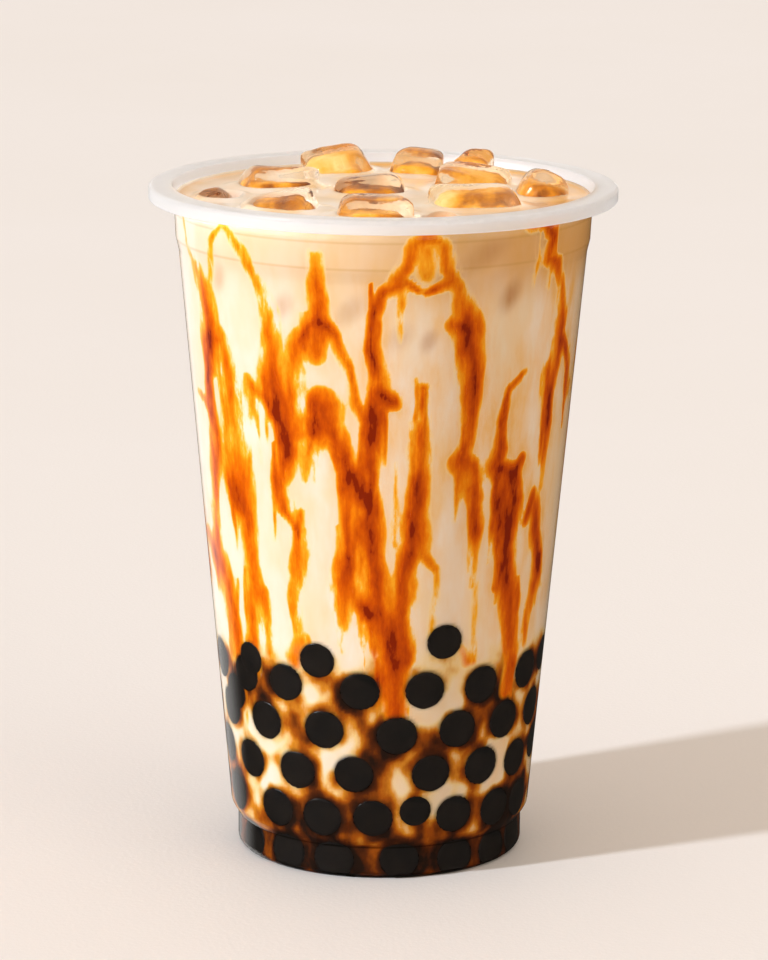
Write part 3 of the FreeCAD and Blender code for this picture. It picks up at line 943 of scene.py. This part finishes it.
def makeSyrup(bm, look):  # the syrup's thick parts, a thin film between the drink and the wall
    amount = bm.verts.layers.float["syrup"]
    thin = [face for face in bm.faces if min(vert[amount] for vert in face.verts) < syrup["filmFrom"]]
    while thin:
        bmesh.ops.delete(bm, geom=thin, context="FACES")
        pinched = [vert for vert in bm.verts if sum(edge.is_boundary for edge in vert.link_edges) > 2]
        thin = list({face for vert in pinched for face in vert.link_faces})  # patches that meet at a corner
    border = [vert for vert in bm.verts if vert.is_boundary]
    for _ in range(syrup["filmSmoothing"]):
        soften(bm, border, 0.5)
    start, full = syrup["filmFrom"] + syrup["filmStart"], syrup["filmFrom"] + syrup["filmFull"]
    for vert in bm.verts:  # the film's edge lies just inside the drink, so that it shows no rim
        rise = easeArray(vert[amount], start, full) * (1 + syrup["filmSunk"]) - syrup["filmSunk"]
        out = 1 + syrup["film"] * rise / vert.co.xy.length
        vert.co.x *= out
        vert.co.y *= out
    bmesh.ops.recalc_face_normals(bm, faces=bm.faces)
    bmesh.ops.solidify(bm, geom=bm.faces[:], thickness=syrup["film"])
    for edge in bm.edges:  # the film's rim does not darken its face
        edge.smooth = edge.calc_face_angle(0) < syrup["rimAngle"]
    addPiece("brownSugarSyrup", bm, look)


makeMilk()


print("stage")
stage = dict(
    floorSize=9.0,
    floorTone=colour("f0edef"),
    floorGrain=colour("ebe7e5"),
    sunTurn=28.0,  # where the shadow falls, in degrees from +X towards the back
    sunHeight=32.0,
    sunPower=2.2,
    sunSpread=3.5,
    sunTone=(0.885, 0.945, 1.0),
    skyTone=(1.0, 0.87, 0.735),
    skyPower=0.73,
    groundTone=(0.04, 0.036, 0.03),  # what a gloss sees below the horizon
    groundGlow=(1.15, 1.12, 1.08),  # and at the back on the left
    fillPlace=(0.95, -0.75, 0.6),
    fillSize=1.0,
    fillPower=2.4,
    fillTone=(1.0, 0.86, 0.66),
)
view = dict(distance=0.8763, height=0.2746, pitch=12.74, yaw=0.034, roll=0.37, lens=164.05, sensor=36.0)


def makeFloor():
    bm = bmesh.new()
    bmesh.ops.create_grid(bm, x_segments=8, y_segments=8, size=stage["floorSize"] / 2)
    mesh = bpy.data.meshes.new("floor")
    bm.to_mesh(mesh)
    bm.free()
    floor = addObject("floor", mesh)
    look = Look("plaster")
    mesh.materials.append(look.finish(look.principled({
        "Base Color": look.mix(look.cloud(scale=3, detail=4), stage["floorTone"], stage["floorGrain"]),
        "Roughness": look.cloud(scale=30).between(0.6, 0.7),
        "Normal": look.bump(look.cloud(scale=900, detail=4), distance=0.4 * mm, strength=0.2)})))
    floor.visible_glossy = False


def addLamp(name, kind, power, tone, ray):  # a lamp that shines along a ray
    lamp = bpy.data.lights.new(name, kind)
    lamp.energy = power
    lamp.color = tone
    made = addObject(name, lamp)
    made.rotation_mode = "QUATERNION"
    made.rotation_quaternion = ray.to_track_quat("-Z", "Y")
    return made


def makeLamps():
    turn, height = math.radians(stage["sunTurn"]), math.radians(stage["sunHeight"])
    ray = Vector((math.cos(turn) * math.cos(height), math.sin(turn) * math.cos(height), -math.sin(height)))
    sun = addLamp("sun", "SUN", stage["sunPower"], stage["sunTone"], ray)
    sun.data.angle = math.radians(stage["sunSpread"])
    place = Vector(stage["fillPlace"])
    fill = addLamp("fill", "AREA", stage["fillPower"], stage["fillTone"], -place)
    fill.data.size = stage["fillSize"]
    fill.location = place
    fill.visible_glossy = False


def makeSky():
    sky = Look("studio", bpy.data.worlds)
    facing = sky.node("SeparateXYZ", None, {0: sky.node("TexCoord", out=0)})
    side, depth, rise = [Wire(sky, facing.socket.node.outputs[axis]) for axis in ("X", "Y", "Z")]
    glow = side.ease(-0.05, -0.4) * depth.ease(0.45, 0.75)
    ground = sky.mix(glow, stage["groundTone"] + (1.0,), stage["groundGlow"] + (1.0,))
    tone = sky.mix(rise.ease(-0.08, 0.02), ground, stage["skyTone"] + (1.0,))
    shine = sky.node("Background", None, {"Color": tone, "Strength": stage["skyPower"]})
    bpy.context.scene.world = sky.finish(shine, "OutputWorld")


def makeCamera():
    data = bpy.data.cameras.new("camera")
    data.lens = view["lens"]
    data.sensor_width = view["sensor"]
    camera = addObject("camera", data)
    aim = Matrix.Rotation(-math.radians(view["yaw"]), 4, "Z")
    aim = aim @ Matrix.Rotation(math.radians(90 - view["pitch"]), 4, "X")
    aim = aim @ Matrix.Rotation(math.radians(view["roll"]), 4, "Z")
    camera.matrix_world = Matrix.Translation((0, -view["distance"], view["height"])) @ aim
    bpy.context.scene.camera = camera


makeFloor()
makeLamps()
makeSky()
makeCamera()
bpy.context.scene.cycles.use_denoising = True
bpy.context.scene.view_settings.view_transform = "Standard"

print("done")
